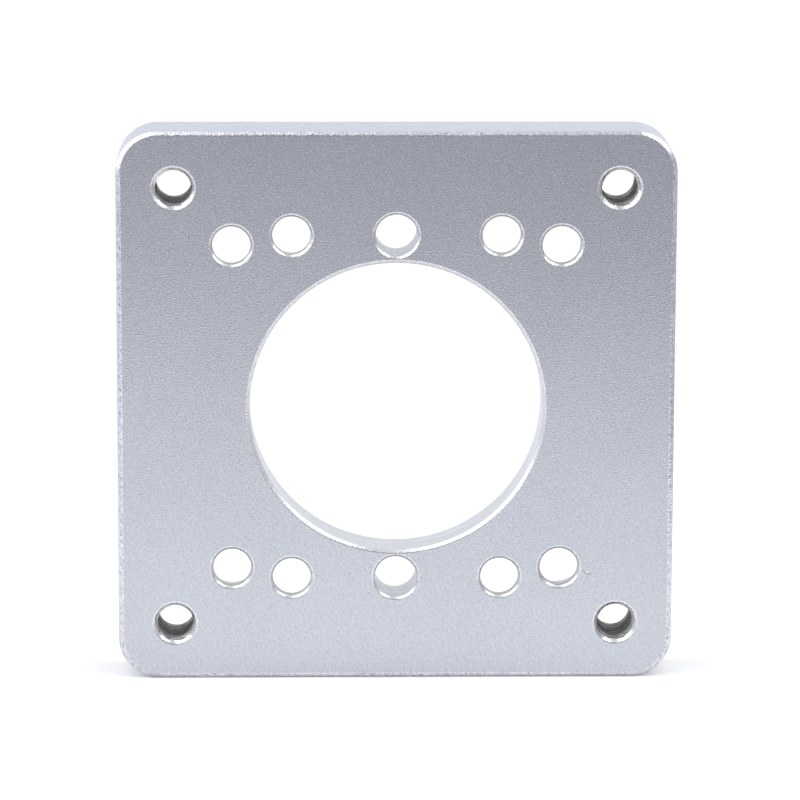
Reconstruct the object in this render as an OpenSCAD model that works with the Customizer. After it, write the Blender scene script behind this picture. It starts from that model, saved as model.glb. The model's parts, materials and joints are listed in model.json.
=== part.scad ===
// Motor adapter plate
// A square aluminium plate that stands on its lower edge, with its bore along Y.
// The front face is the plane Y = 0 and looks along -Y, the back face carries the
// pilot recess, and the origin is the bore's centre on the front face.

/* [Plate] */
// Width of the plate, along X
plate_w = 80; // [78:0.5:120]
// Height of the plate, along Z
plate_h = 80; // [78:0.5:120]
// Thickness of the plate, front face to back face
plate_t = 10; // [8.5:0.5:16]
// Radius of the four upright corners
corner_r = 6; // [2:0.5:7]
// Bevel along the outline, on both faces
edge_bevel = 0.5; // [0.2:0.1:1]

/* [Centre bore and pilot recess] */
// Diameter of the through bore
bore_d = 42; // [20:0.5:43]
// Bevel of the bore's front mouth
bore_bevel = 0.6; // [0.2:0.1:1]
// Diameter of the recess that takes the motor's pilot
pilot_d = 70; // [68:0.5:73]
// Depth of the pilot recess, from the back face
pilot_depth = 3; // [2:0.25:5]
// Bevel of the pilot recess's mouth
pilot_bevel = 0.3; // [0.1:0.1:0.8]

/* [Tapped flange holes] */
// Spacing of the four tapped holes, along X and Z
flange_pitch = 63.64; // [62:0.02:66]
// Nominal diameter of the thread
thread_d = 6; // [5:1:8]
// How far the thread's crests stand in from its nominal diameter, on the diameter
thread_depth = 0.85; // [0.5:0.05:1.4]
// How far the countersunk mouth is wider than the thread, on the diameter
thread_mouth = 0.6; // [0.2:0.1:1]

/* [Counterbored screw holes] */
// Spacing of the square of four screw holes, along X and Z
square_pitch = 47.14; // [46:0.02:48.5]
// Width of the rectangle of four screw holes, along X
row_w = 30; // [28:0.5:31]
// Height of the rectangle of four screw holes, along Z
row_h = 50; // [50:0.5:52]
// Diameter of a screw hole
screw_d = 5.5; // [4.3:0.1:5.8]
// Diameter of the counterbore for a screw head
head_d = 9; // [8:0.1:9.4]
// Thickness left between the front face and the counterbore's floor
head_land = 2; // [1:0.25:4]

/* [Centre line holes] */
// Diameter of the two holes above and below the bore
centre_d = 6; // [4:0.1:6]
// Bevel of the front mouth of every plain hole
hole_bevel = 0.5; // [0.2:0.1:0.6]

/* [Hidden] */

// A cutter reaches this far past the face that it opens
over = 1;
half_w = plate_w / 2;
half_h = plate_h / 2;
bore_r = bore_d / 2;
pilot_r = pilot_d / 2;
pilot_floor = plate_t - pilot_depth;
// The wall of a tapped hole is modelled at the thread's crests
crest_r = (thread_d - thread_depth) / 2;
mouth_r = (thread_d + thread_mouth) / 2;
mouth_bevel = mouth_r - crest_r;
// The two centre line holes share the rows of the rectangle
centre_pitch = row_h;

// Colour of the anodised aluminium
aluminium = [0.80, 0.81, 0.84];

$fn = 96;

// In the modules below the front face is the plane Z = 0 and depth runs along -Z.

// Section across the plate, bevelled on both faces; reach runs from the middle out.
module bevelled_section(reach) {
    polygon([
        [0, 0],
        [reach - edge_bevel, 0],
        [reach, -edge_bevel],
        [reach, edge_bevel - plate_t],
        [reach - edge_bevel, -plate_t],
        [0, -plate_t],
    ]);
}

// A straight bar with bevelled long sides, along Y and centred on it.
module bevelled_bar(half_width, length) {
    rotate([90, 0, 0])
        linear_extrude(height = length, center = true)
            union() {
                bevelled_section(half_width);
                mirror([1, 0])
                    bevelled_section(half_width);
            }
}

// The plate without its holes: two crossed bars and a round post at each corner.
module blank() {
    bevelled_bar(half_w, plate_h - 2 * corner_r);
    rotate([0, 0, 90])
        bevelled_bar(half_h, plate_w - 2 * corner_r);
    for (x = [-1, 1], y = [-1, 1])
        translate([x * (half_w - corner_r), y * (half_h - corner_r), 0])
            rotate_extrude()
                bevelled_section(corner_r);
}

// Cutter for a straight hole from the front face, bevelled there, to a depth.
module plain_hole(radius, bevel, depth) {
    rotate_extrude()
        polygon([
            [0, over],
            [radius + bevel + over, over],
            [radius, -bevel],
            [radius, -depth],
            [0, -depth],
        ]);
}

// Cutter for a screw hole with its head sunk into the back.
module screw_hole() {
    plain_hole(screw_d / 2, hole_bevel, plate_t + over);
    translate([0, 0, -plate_t - over])
        cylinder(d = head_d, h = plate_t + over - head_land);
}

// Cutter for a tapped hole, countersunk on both faces.
module tapped_hole() {
    rotate_extrude()
        polygon([
            [0, over],
            [mouth_r + over, over],
            [crest_r, -mouth_bevel],
            [crest_r, mouth_bevel - plate_t],
            [mouth_r + over, -plate_t - over],
            [0, -plate_t - over],
        ]);
}

// Cutter for the recess in the back face.
module pilot_recess() {
    rotate_extrude()
        polygon([
            [0, -pilot_floor],
            [pilot_r, -pilot_floor],
            [pilot_r, pilot_bevel - plate_t],
            [pilot_r + pilot_bevel + over, -plate_t - over],
            [0, -plate_t - over],
        ]);
}

// Places its children at the four corners of a rectangle about the bore.
module at_corners(width, height) {
    for (x = [-1, 1], y = [-1, 1])
        translate([x * width / 2, y * height / 2, 0])
            children();
}

module adapter_plate() {
    color(aluminium)
        rotate([90, 0, 0])
            difference() {
                blank();
                plain_hole(bore_r, bore_bevel, plate_t + over);
                pilot_recess();
                at_corners(flange_pitch, flange_pitch)
                    tapped_hole();
                at_corners(square_pitch, square_pitch)
                    screw_hole();
                at_corners(row_w, row_h)
                    screw_hole();
                for (y = [-1, 1])
                    translate([0, y * centre_pitch / 2, 0])
                        plain_hole(centre_d / 2, hole_bevel, plate_t + over);
            }
}

adapter_plate();
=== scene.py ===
"""Motor adapter plate, machined and dressed around its CAD model.

The whole plate is one watertight surface worked out with numpy, in millimetres, with depth along
+Y from the front face. It replaces the CAD node and carries what a turned, drilled and tapped
plate has: rounded bevels, the ridges where two bevels meet, threads and a blasted finish.
"""

import json
import logging
import math
from collections.abc import Sequence
from dataclasses import dataclass
from enum import IntEnum
from functools import partial, reduce

import bpy
import numpy as np
from mathutils import Matrix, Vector
from mathutils.geometry import delaunay_2d_cdt

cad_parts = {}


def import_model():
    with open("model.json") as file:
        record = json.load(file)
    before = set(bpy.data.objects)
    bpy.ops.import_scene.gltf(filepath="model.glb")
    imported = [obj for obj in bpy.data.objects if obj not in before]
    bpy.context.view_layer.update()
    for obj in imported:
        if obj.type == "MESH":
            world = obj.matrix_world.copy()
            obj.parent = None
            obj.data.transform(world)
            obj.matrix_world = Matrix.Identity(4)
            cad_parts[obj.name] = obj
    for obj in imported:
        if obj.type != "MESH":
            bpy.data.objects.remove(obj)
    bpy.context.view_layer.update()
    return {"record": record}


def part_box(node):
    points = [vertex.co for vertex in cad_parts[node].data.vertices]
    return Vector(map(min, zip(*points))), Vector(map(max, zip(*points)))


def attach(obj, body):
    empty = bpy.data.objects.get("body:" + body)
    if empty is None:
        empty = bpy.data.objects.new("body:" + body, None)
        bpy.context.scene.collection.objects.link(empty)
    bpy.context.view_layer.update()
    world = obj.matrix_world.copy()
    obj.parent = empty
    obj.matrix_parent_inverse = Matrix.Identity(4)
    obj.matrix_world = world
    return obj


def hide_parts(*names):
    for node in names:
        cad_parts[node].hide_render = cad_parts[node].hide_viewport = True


LOG = logging.getLogger("adapter_plate")

METRE = 0.001  # metres in a millimetre
TURN = 2 * math.pi
NODE = "adapter_plate"
PIECE = "adapter_plate_machined"
QUADRANTS = ((1, 1), (-1, 1), (-1, -1), (1, -1))  # the signs of x and z in the four quarters
LOOSE_GAP = 0.45  # share of their spacing that loose points of a flat face keep from its outlines
SAME_SPOT = 1e-5  # millimetres within which two points of a flat face are one
HALVINGS = 50  # steps in the search for a ridge
ROUND_OFF = 1e-9  # millimetres that the arithmetic may be off

Array = np.ndarray
Point = tuple[float, float]
DEEPER: Array = np.array([0.0, 1.0, 0.0])  # the way into the plate


class Surface(IntEnum):
    """The finishes on the plate, in the order of its material slots."""

    BLASTED = 0
    BEVELLED = 1
    BORED = 2
    THREADED = 3
    MILLED = 4
    EDGED = 5
    TURNED = 6
    DRILLED = 7


class Facing(IntEnum):
    """The way a flat face looks along the depth."""

    FRONT = -1
    BACK = 1


# Surface patches


@dataclass(frozen=True)
class Patch:
    """A part of the plate's surface, in millimetres.

    Attributes:
        points: Vertex positions, one row each.
        normals: Unit normals that point out of the metal, one row for each vertex.
        triangles: Vertex indices, one row for each triangle.
        surface: The finish of each triangle.
    """

    points: Array
    normals: Array
    triangles: Array
    surface: Array


def grid_patch(points: Array, normals: Array, surface: Array | int, closed: bool = False) -> Patch:
    """Makes a patch from a grid of points, with two triangles in each cell.

    Args:
        points: Positions with shape (rows, columns, 3).
        normals: Normals with the same shape.
        surface: One finish, or one for each strip between two rows.
        closed: True if the last column joins the first.

    Returns:
        The patch.
    """
    rows, columns = points.shape[:2]
    index = np.arange(rows * columns).reshape(rows, columns)
    if closed:
        index = np.hstack([index, index[:, :1]])
    first, second = index[:-1, :-1], index[:-1, 1:]
    third, fourth = index[1:, 1:], index[1:, :-1]
    cells = np.stack([first, second, third, first, third, fourth], axis=-1)
    strips = np.broadcast_to(np.atleast_1d(surface), (rows - 1,))
    return Patch(
        points=points.reshape(-1, 3),
        normals=normals.reshape(-1, 3),
        triangles=cells.reshape(-1, 3),
        surface=np.repeat(strips, 2 * (index.shape[1] - 1)),
    )


def flat_patch(
    lines: Sequence[Array],
    depth: float,
    facing: Facing,
    surface: Surface,
    spacing: float,
) -> Patch:
    """Fills the flat face between closed outlines.

    The outlines are edges of a Delaunay mesh, with loose points on a square grid between them. A
    triangle stays if a line from its middle along +X crosses the outlines an odd number of times.

    Args:
        lines: Polylines of (x, z) points that together make closed outlines.
        depth: Depth of the face.
        facing: The way it looks.
        surface: Its finish.
        spacing: Distance between loose points.

    Returns:
        The patch.
    """
    rim = np.vstack(lines)
    ends = np.cumsum([len(line) for line in lines])
    step = np.arange(len(rim) - 1)
    step = step[~np.isin(step, ends - 1)]
    edges = np.stack([step, step + 1], axis=-1)
    low, high = rim.min(axis=0) + spacing / 2, rim.max(axis=0)
    loose = np.stack(
        np.meshgrid(np.arange(low[0], high[0], spacing), np.arange(low[1], high[1], spacing)),
        axis=-1,
    ).reshape(-1, 2)
    gap = np.min(np.linalg.norm(loose[:, None] - rim[None], axis=-1), axis=1)
    loose = loose[gap > LOOSE_GAP * spacing]
    plane = np.vstack([rim, loose])
    _, _, faces, origin, _, _ = delaunay_2d_cdt(plane.tolist(), edges.tolist(), [], 0, SAME_SPOT)
    spots = plane[[sources[0] for sources in origin]]
    triangles = np.array(faces, dtype=int)
    keep = inside(spots[triangles].mean(axis=1), rim[edges])
    points = np.stack([spots[:, 0], np.full(len(spots), depth), spots[:, 1]], axis=-1)
    normals = np.tile([0.0, float(facing), 0.0], (len(spots), 1))
    triangles = triangles[keep]
    return Patch(points, normals, triangles, np.full(len(triangles), int(surface)))


def inside(spots: Array, edges: Array) -> Array:
    """Tells which spots lie inside closed outlines, by the even-odd rule.

    Args:
        spots: Positions with shape (count, 2).
        edges: Edges of the outlines with shape (edges, 2 ends, 2).

    Returns:
        A boolean for each spot.
    """
    start, end = edges[:, 0], edges[:, 1]
    above_start = start[None, :, 1] > spots[:, None, 1]
    above_end = end[None, :, 1] > spots[:, None, 1]
    crosses = above_start != above_end
    rise = np.where(start[:, 1] == end[:, 1], 1.0, end[:, 1] - start[:, 1])
    slope = (end[:, 0] - start[:, 0]) / rise
    reach = start[None, :, 0] + (spots[:, None, 1] - start[None, :, 1]) * slope[None]
    return (crosses & (reach > spots[:, None, 0])).sum(axis=1) % 2 == 1


def joined(patches: Sequence[Patch], tolerance: float = 1.3e-4) -> tuple[Patch, Array]:
    """Welds patches into one surface.

    Points that round to the same place become one vertex, triangles that lose a corner go, and
    each patch is turned as a whole so that its winding agrees with its normals.

    Args:
        patches: The patches, whose borders hold the same points.
        tolerance: Grid on which points are taken as one, in millimetres.

    Returns:
        The welded patch, and the normals of each triangle's three corners.
    """
    points = np.vstack([p.points for p in patches])
    normals = np.vstack([p.normals for p in patches])
    starts = np.cumsum([0] + [len(p.points) for p in patches[:-1]])
    triangles = np.vstack([p.triangles + s for p, s in zip(patches, starts)])
    surface = np.concatenate([p.surface for p in patches])
    _, first, place = np.unique(
        np.round(points / tolerance).astype(np.int64), axis=0, return_index=True, return_inverse=True
    )
    place = place.reshape(-1)
    corners = normals[triangles]
    welded = place[triangles]
    whole = (
        (welded[:, 0] != welded[:, 1])
        & (welded[:, 1] != welded[:, 2])
        & (welded[:, 2] != welded[:, 0])
    )
    source = np.repeat(np.arange(len(patches)), [len(p.triangles) for p in patches])[whole]
    welded, corners, surface = welded[whole], corners[whole], surface[whole]
    spots = points[first]
    tri = spots[welded]
    area = np.cross(tri[:, 1] - tri[:, 0], tri[:, 2] - tri[:, 0])
    agreement = np.einsum("ij,ij->i", area, corners.sum(axis=1))
    turned = (np.bincount(source, weights=agreement) < 0)[source]
    welded[turned] = welded[turned][:, ::-1]
    corners[turned] = corners[turned][:, ::-1]
    used, welded = np.unique(welded, return_inverse=True)
    return Patch(spots[used], normals[first][used], welded.reshape(-1, 3), surface), corners


# Profiles


@dataclass(frozen=True)
class Profile:
    """A section through a surface: points of (reach, depth) with normals and finishes.

    Attributes:
        reach: Radius, or distance out from a path, of each row.
        depth: Depth of each row.
        across: The normal's share along the reach.
        along: The normal's share along the depth.
        surface: The finish of each strip between two rows.
    """

    reach: Array
    depth: Array
    across: Array
    along: Array
    surface: Array

    def depth_at(self, reach: Array) -> Array:
        """Depth of the front bevel at a reach, read from the rows' straight pieces.

        Args:
            reach: Distances from the axis.

        Returns:
            The depths, zero outside the bevel.
        """
        rows = self._front_rows()
        return np.interp(reach, self.reach[rows][::-1], self.depth[rows][::-1])

    def normal_at(self, reach: Array) -> tuple[Array, Array]:
        """Normal of the front bevel at a reach.

        Args:
            reach: Distances from the axis.

        Returns:
            The shares along the reach and along the depth.
        """
        rows = self._front_rows()
        across = np.interp(reach, self.reach[rows][::-1], self.across[rows][::-1])
        along = np.interp(reach, self.reach[rows][::-1], self.along[rows][::-1])
        size = np.hypot(across, along)
        return across / size, along / size

    def _front_rows(self) -> slice:
        """The rows from the face to the wall, over which the reach falls."""
        return slice(0, int(np.argmin(self.reach)) + 1)


def rounded_profile(
    corners: Sequence[tuple[float, float]],
    radii: Sequence[float],
    surfaces: Sequence[Surface],
    rows: Sequence[int],
    side: int = 1,
    steps: int = 4,
) -> Profile:
    """Rounds the inner corners of a polyline of (reach, depth) points.

    An arc of radius rho touches both straight pieces at rho tan(half the turn) from the corner. The
    first and last pieces only give a direction, so that the profile starts and ends on an arc.

    Args:
        corners: The polyline.
        radii: Radius at each inner corner.
        surfaces: Finish of each straight piece between two inner corners.
        rows: Rows added inside each such piece.
        side: 1 if the air is on the polyline's left, with reach to the right and depth up.
        steps: Strips in each arc.

    Returns:
        The profile.
    """
    line = np.asarray(corners, dtype=float)
    ways = np.diff(line, axis=0)
    ways /= np.linalg.norm(ways, axis=1)[:, None]
    airs = side * np.stack([-ways[:, 1], ways[:, 0]], axis=-1)
    spots, normals, surface = [], [], []
    for i, radius in enumerate(radii):
        cross = ways[i, 0] * ways[i + 1, 1] - ways[i, 1] * ways[i + 1, 0]
        turn = math.atan2(cross, float(ways[i] @ ways[i + 1]))
        convex = -1.0 if cross * side < 0 else 1.0
        start = line[i + 1] - ways[i] * radius * math.tan(abs(turn) / 2)
        swing = turn * np.linspace(0, 1, steps + 1)
        air = np.stack(
            [
                airs[i, 0] * np.cos(swing) - airs[i, 1] * np.sin(swing),
                airs[i, 0] * np.sin(swing) + airs[i, 1] * np.cos(swing),
            ],
            axis=-1,
        )
        arc = start + convex * radius * (airs[i] - air)
        if i:
            share = np.linspace(0, 1, rows[i - 1] + 2)[1:-1, None]
            spots.append(spots[-1][-1] * (1 - share) + arc[0] * share)
            normals.append(np.tile(airs[i], (rows[i - 1], 1)))
            surface += [surfaces[i - 1]] * (rows[i - 1] + 1)
        spots.append(arc)
        normals.append(air)
        surface += [surfaces[min(i, len(surfaces) - 1)]] * steps
    points, normals = np.vstack(spots), np.vstack(normals)
    return Profile(*points.T, *normals.T, np.array(surface, dtype=int))


def rounding_length(radius: float) -> float:
    """How far from the corner between a face and a bevel a rounding of that radius begins."""
    return radius * math.tan(TURN / 16)


def straight_wall(radius: float, depths: Array, surface: Surface) -> Profile:
    """Section of a wall with one radius whose air is on the axis's side.

    Args:
        radius: The radius.
        depths: Depth of each row.
        surface: The wall's finish.

    Returns:
        The profile.
    """
    ones = np.ones_like(depths)
    return Profile(radius * ones, depths, -ones, 0 * ones, np.full(len(depths) - 1, int(surface)))


def directions(angles: Array) -> Array:
    """The unit vectors (cos a, 0, sin a) at angles."""
    return np.stack([np.cos(angles), np.zeros_like(angles), np.sin(angles)], axis=-1)


def swept(profile: Profile, angles: Array, centre: Point) -> tuple[Array, Array]:
    """Carries a profile round an axis along the depth.

    Position = axis + direction times reach + the way deeper times depth. The normal is made of the
    same two ways with the profile's shares.

    Args:
        profile: The profile, with reach as its radius.
        angles: Angle of each column, or of each point in rows and columns.
        centre: The axis, as (x, z).

    Returns:
        Points and normals with shape (rows, columns, 3).
    """
    out = directions(angles)
    axis = np.array([centre[0], 0.0, centre[1]])
    points = axis + out * profile.reach[:, None, None] + DEEPER * profile.depth[:, None, None]
    normals = out * profile.across[:, None, None] + DEEPER * profile.along[:, None, None]
    return points, normals


def revolved(
    profile: Profile,
    angles: Array,
    centre: Point,
    ridge: tuple[Array, Array] | None = None,
    closed: bool = True,
) -> Patch:
    """Makes a patch of a profile that is carried round an axis along the depth.

    With a ridge, each point that would lie beyond it is held on it.

    Args:
        profile: The profile, with reach as its radius.
        angles: Angle of each column.
        centre: The axis, as (x, z).
        ridge: Column numbers and 3-D points where another surface cuts this one off.
        closed: True if the columns go all round.

    Returns:
        The patch.
    """
    points, normals = swept(profile, angles, centre)
    if ridge is not None:
        columns, crest = ridge
        limit = np.hypot(crest[:, 0] - centre[0], crest[:, 2] - centre[1])
        beyond = (profile.reach[:, None] >= limit[None] - ROUND_OFF)[..., None]
        across, along = profile.normal_at(limit)
        held = directions(angles[columns]) * across[:, None] + DEEPER * along[:, None]
        points[:, columns] = np.where(beyond, crest[None], points[:, columns])
        normals[:, columns] = np.where(beyond, held[None], normals[:, columns])
    return grid_patch(points, normals, profile.surface, closed=closed)


def ring(angles: Array, radius: float, centre: Point, closed: bool = True) -> Array:
    """Points of (x, z) on a circle.

    Args:
        angles: Angle of each point.
        radius: The circle's radius.
        centre: Its centre.
        closed: True if the first point comes again at the end.

    Returns:
        The points.
    """
    if closed:
        angles = np.append(angles, angles[0])
    return radius * directions(angles)[..., [0, 2]] + centre


def evenly(count: int) -> Array:
    """Angles of a number of columns all round, clockwise from the front."""
    return -TURN * np.arange(count) / count


def smooth_noise(shape: tuple[int, int], spread: tuple[float, float], seed: int) -> Array:
    """Random heights that wrap round in both directions.

    White noise is filtered with a Gaussian in frequency, whose width is one over the spread.

    Args:
        shape: Rows and columns.
        spread: Size of a bump along each, in cells.
        seed: Seed of the random numbers.

    Returns:
        Heights with a mean of zero and a deviation of one.
    """
    white = np.fft.fft2(np.random.default_rng(seed).standard_normal(shape))
    down = np.fft.fftfreq(shape[0])[:, None] * spread[0]
    over = np.fft.fftfreq(shape[1])[None] * spread[1]
    made = np.fft.ifft2(white * np.exp(-2 * math.pi**2 * (down**2 + over**2) / 4)).real
    made -= made.mean()
    return made / made.std()


# The plate


@dataclass(frozen=True)
class PlateSizes:
    """Sizes of the plate in millimetres.

    The frame's box and record give the main ones. The small ones are named here. A name that ends
    in _r is a radius, and one with half is half a size or half a spacing of holes.
    """

    half_w: float
    half_h: float
    thickness: float
    bore_r: float
    pilot_r: float  # the recess for the motor's pilot
    pilot_floor: float  # the recess floor's depth from the front face
    crest_r: float  # the thread's crests
    flange_half: float  # the tapped holes
    screw_r: float
    head_r: float  # the counterbores for the screws' heads
    square_half: float  # the screw holes on the square
    row_half_w: float  # the screw holes on the rectangle
    row_half_h: float
    centre_r: float  # the two holes above and below the bore
    corner_r: float = 6.0
    edge_bevel: float = 0.5
    bore_bevel: float = 0.6
    pilot_bevel: float = 0.3
    hole_bevel: float = 0.5
    head_land: float = 2.0  # what the counterbores leave of the thickness
    thread_pitch: float = 1.0
    thread_mouth: float = 0.3  # how far a countersink is wider than the thread
    thread_root_r: float = 3.0

    @classmethod
    def from_frame(cls, record: dict) -> "PlateSizes":
        """Reads the sizes from the CAD node's box and the record's mounts.

        Args:
            record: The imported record.

        Returns:
            The sizes.
        """
        low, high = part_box(NODE)
        mounts = {mount["name"]: mount for mount in record["mounts"]}

        def size(mount: str, name: str) -> float:
            """One measure of one mount."""
            return float(mounts[mount]["dims"][name])

        thickness = (high.y - low.y) / METRE
        return cls(
            half_w=(high.x - low.x) / METRE / 2,
            half_h=(high.z - low.z) / METRE / 2,
            thickness=thickness,
            bore_r=size("centre_bore", "r_mm"),
            pilot_r=size("pilot_recess", "r_mm"),
            pilot_floor=thickness - size("pilot_recess", "length_mm") - cls.pilot_bevel,
            crest_r=size("flange_threads", "hole_r_mm"),
            flange_half=size("flange_threads", "spacing_x_mm") / 2,
            screw_r=size("square_screws", "hole_r_mm"),
            head_r=size("square_screw_heads", "hole_r_mm"),
            square_half=size("square_screws", "spacing_x_mm") / 2,
            row_half_w=size("row_screws", "spacing_x_mm") / 2,
            row_half_h=size("row_screws", "spacing_y_mm") / 2,
            centre_r=size("centre_screws", "hole_r_mm"),
        )


@dataclass
class Outline:
    """The plate's outside: both bevels and the side between them, carried round the path.

    Attributes:
        sizes: The plate's sizes.
        rounding: Rounding between a bevel and the side.
        lip_rounding: Rounding between a bevel and its face.
        lip: How far a bevel reaches further in on its face than down the side.
        step: Distance between two columns.
        roughness: Depth of the wear, which the next five values shape.
        fine_wear: Share of the small bumps.
        fine_spread: Size of a small bump, in rows and columns.
        long_wear: Share of the slow change along the edges.
        long_spread: Size of that, in rows and columns.
        wear_range: What is added to both, and the most that they may reach.
        fade: Depth over which the wear ends towards the side.
        seed: Seed of the wear.
    """

    sizes: PlateSizes
    rounding: float = 0.3
    lip_rounding: float = 0.5
    lip: float = 0.1
    step: float = 0.3
    roughness: float = 0.016
    fine_wear: float = 0.6
    fine_spread: tuple[float, float] = (4.0, 2.2)
    long_wear: float = 0.7
    long_spread: tuple[float, float] = (1.0, 9.0)
    wear_range: tuple[float, float] = (0.2, 2.5)
    fade: float = 0.14
    seed: int = 11

    def __post_init__(self) -> None:
        """Works out the path and the profile."""
        s = self.sizes
        radius, bevel, deep = s.corner_r, s.edge_bevel, s.thickness
        start = radius - bevel - self.lip
        self.profile = rounded_profile(
            [(0, 0), (start, 0), (radius, bevel), (radius, deep - bevel), (start, deep), (0, deep)],
            [self.lip_rounding, self.rounding, self.rounding, self.lip_rounding],
            [Surface.EDGED, Surface.MILLED, Surface.EDGED],
            [3, 5, 3],
            side=-1,
            steps=3,
        )
        self.base, self.out = self._path()

    def _path(self) -> tuple[Array, Array]:
        """The path that runs corner_r inside the outline, and the way out from it.

        Each corner is one point with directions that swing a quarter turn. Each side is a row of
        points with one direction.

        Returns:
            The path's points and the unit directions, as (x, z).
        """
        s = self.sizes
        reach_x, reach_z = s.half_w - s.corner_r, s.half_h - s.corner_r
        corners = np.array(QUADRANTS) * [reach_x, reach_z]
        bases, outs = [], []
        arc = round(s.corner_r * TURN / 4 / self.step)
        for quarter, (here, following) in enumerate(zip(corners, np.roll(corners, -1, axis=0))):
            angles = TURN / 4 * (quarter + np.arange(arc) / arc)
            bases.append(np.tile(here, (arc, 1)))
            outs.append(np.stack([np.cos(angles), np.sin(angles)], axis=-1))
            count = round(float(np.linalg.norm(following - here)) / self.step)
            share = (np.arange(count) / count)[:, None]
            bases.append(here * (1 - share) + following * share)
            way = TURN / 4 * (quarter + 1)
            outs.append(np.tile([math.cos(way), math.sin(way)], (count, 1)))
        return np.vstack(bases), np.vstack(outs)

    def grid(self) -> tuple[Array, Array]:
        """Points and normals of the outside, worn inwards a little at both bevels.

        Position = path point + direction times (reach - wear), at the row's depth. The wear is a
        noise that is never negative, whole on the bevels and fading out towards the side. Normals
        are the cross product of the differences along the rows and the columns.

        Returns:
            Points and normals with shape (rows, columns, 3).
        """
        rows, columns = len(self.profile.reach), len(self.base)
        fine = smooth_noise((rows, columns), self.fine_spread, self.seed)
        slow = smooth_noise((1, columns), self.long_spread, self.seed + 1)
        added, most = self.wear_range
        wear = np.clip(fine * self.fine_wear + slow * self.long_wear + added, 0, most) * self.roughness
        from_face = np.minimum(self.profile.depth, self.sizes.thickness - self.profile.depth)
        end = self.sizes.edge_bevel + rounding_length(self.rounding)
        whole = np.clip((end - from_face) / self.fade, 0, 1)
        reach = self.profile.reach[:, None] - wear * whole[:, None]
        flat = self.base[None] + self.out[None] * reach[..., None]
        deep = np.broadcast_to(self.profile.depth[:, None], reach.shape)
        points = np.stack([flat[..., 0], deep, flat[..., 1]], axis=-1)
        padded = np.concatenate([points[:1], points, points[-1:]])
        down = padded[2:] - padded[:-2]
        over = np.roll(points, -1, axis=1) - np.roll(points, 1, axis=1)
        normals = np.cross(down, over)
        analytic = np.stack(
            [
                self.out[None, :, 0] * self.profile.across[:, None],
                np.broadcast_to(self.profile.along[:, None], reach.shape),
                self.out[None, :, 1] * self.profile.across[:, None],
            ],
            axis=-1,
        )
        normals *= np.sign((normals * analytic).sum(axis=-1, keepdims=True))
        normals /= np.linalg.norm(normals, axis=-1, keepdims=True)
        normals[0], normals[-1] = analytic[0], analytic[-1]
        return points, normals

    def build(self) -> tuple[Patch, Array, Array]:
        """Makes the outside.

        Returns:
            The patch, and its closed borders on the front and the back face as (x, z) lines.
        """
        points, normals = self.grid()
        rim = points[:, :, [0, 2]]
        front, back = (np.vstack([line, line[:1]]) for line in (rim[0], rim[-1]))
        return grid_patch(points, normals, self.profile.surface, closed=True), front, back


@dataclass(frozen=True)
class PlainHole:
    """The edges that every plain hole has, from the front face down to a floor at its back.

    Attributes:
        rounding: Rounding between the front face and the bevel.
        inner_rounding: Rounding between the bevel and the wall.
        back_rounding: Rounding between the wall and the floor.
    """

    rounding: float = 0.34
    inner_rounding: float = 0.1
    back_rounding: float = 0.06

    def profile(
        self, radius: float, bevel: float, floor: float, wall: Surface, rows: Sequence[int]
    ) -> Profile:
        """Section over the bevel and down the wall.

        Args:
            radius: The wall's radius.
            bevel: How wide the mouth's bevel is with its rounding.
            floor: The floor's depth.
            wall: The wall's finish.
            rows: Rows added inside the bevel and inside the wall.

        Returns:
            The profile.
        """
        bevel -= rounding_length(self.rounding)
        mouth = radius + bevel
        return rounded_profile(
            [(mouth + 1, 0), (mouth, 0), (radius, bevel), (radius, floor), (radius + 1, floor)],
            [self.rounding, self.inner_rounding, self.back_rounding],
            [Surface.BEVELLED, wall],
            rows,
        )


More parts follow.
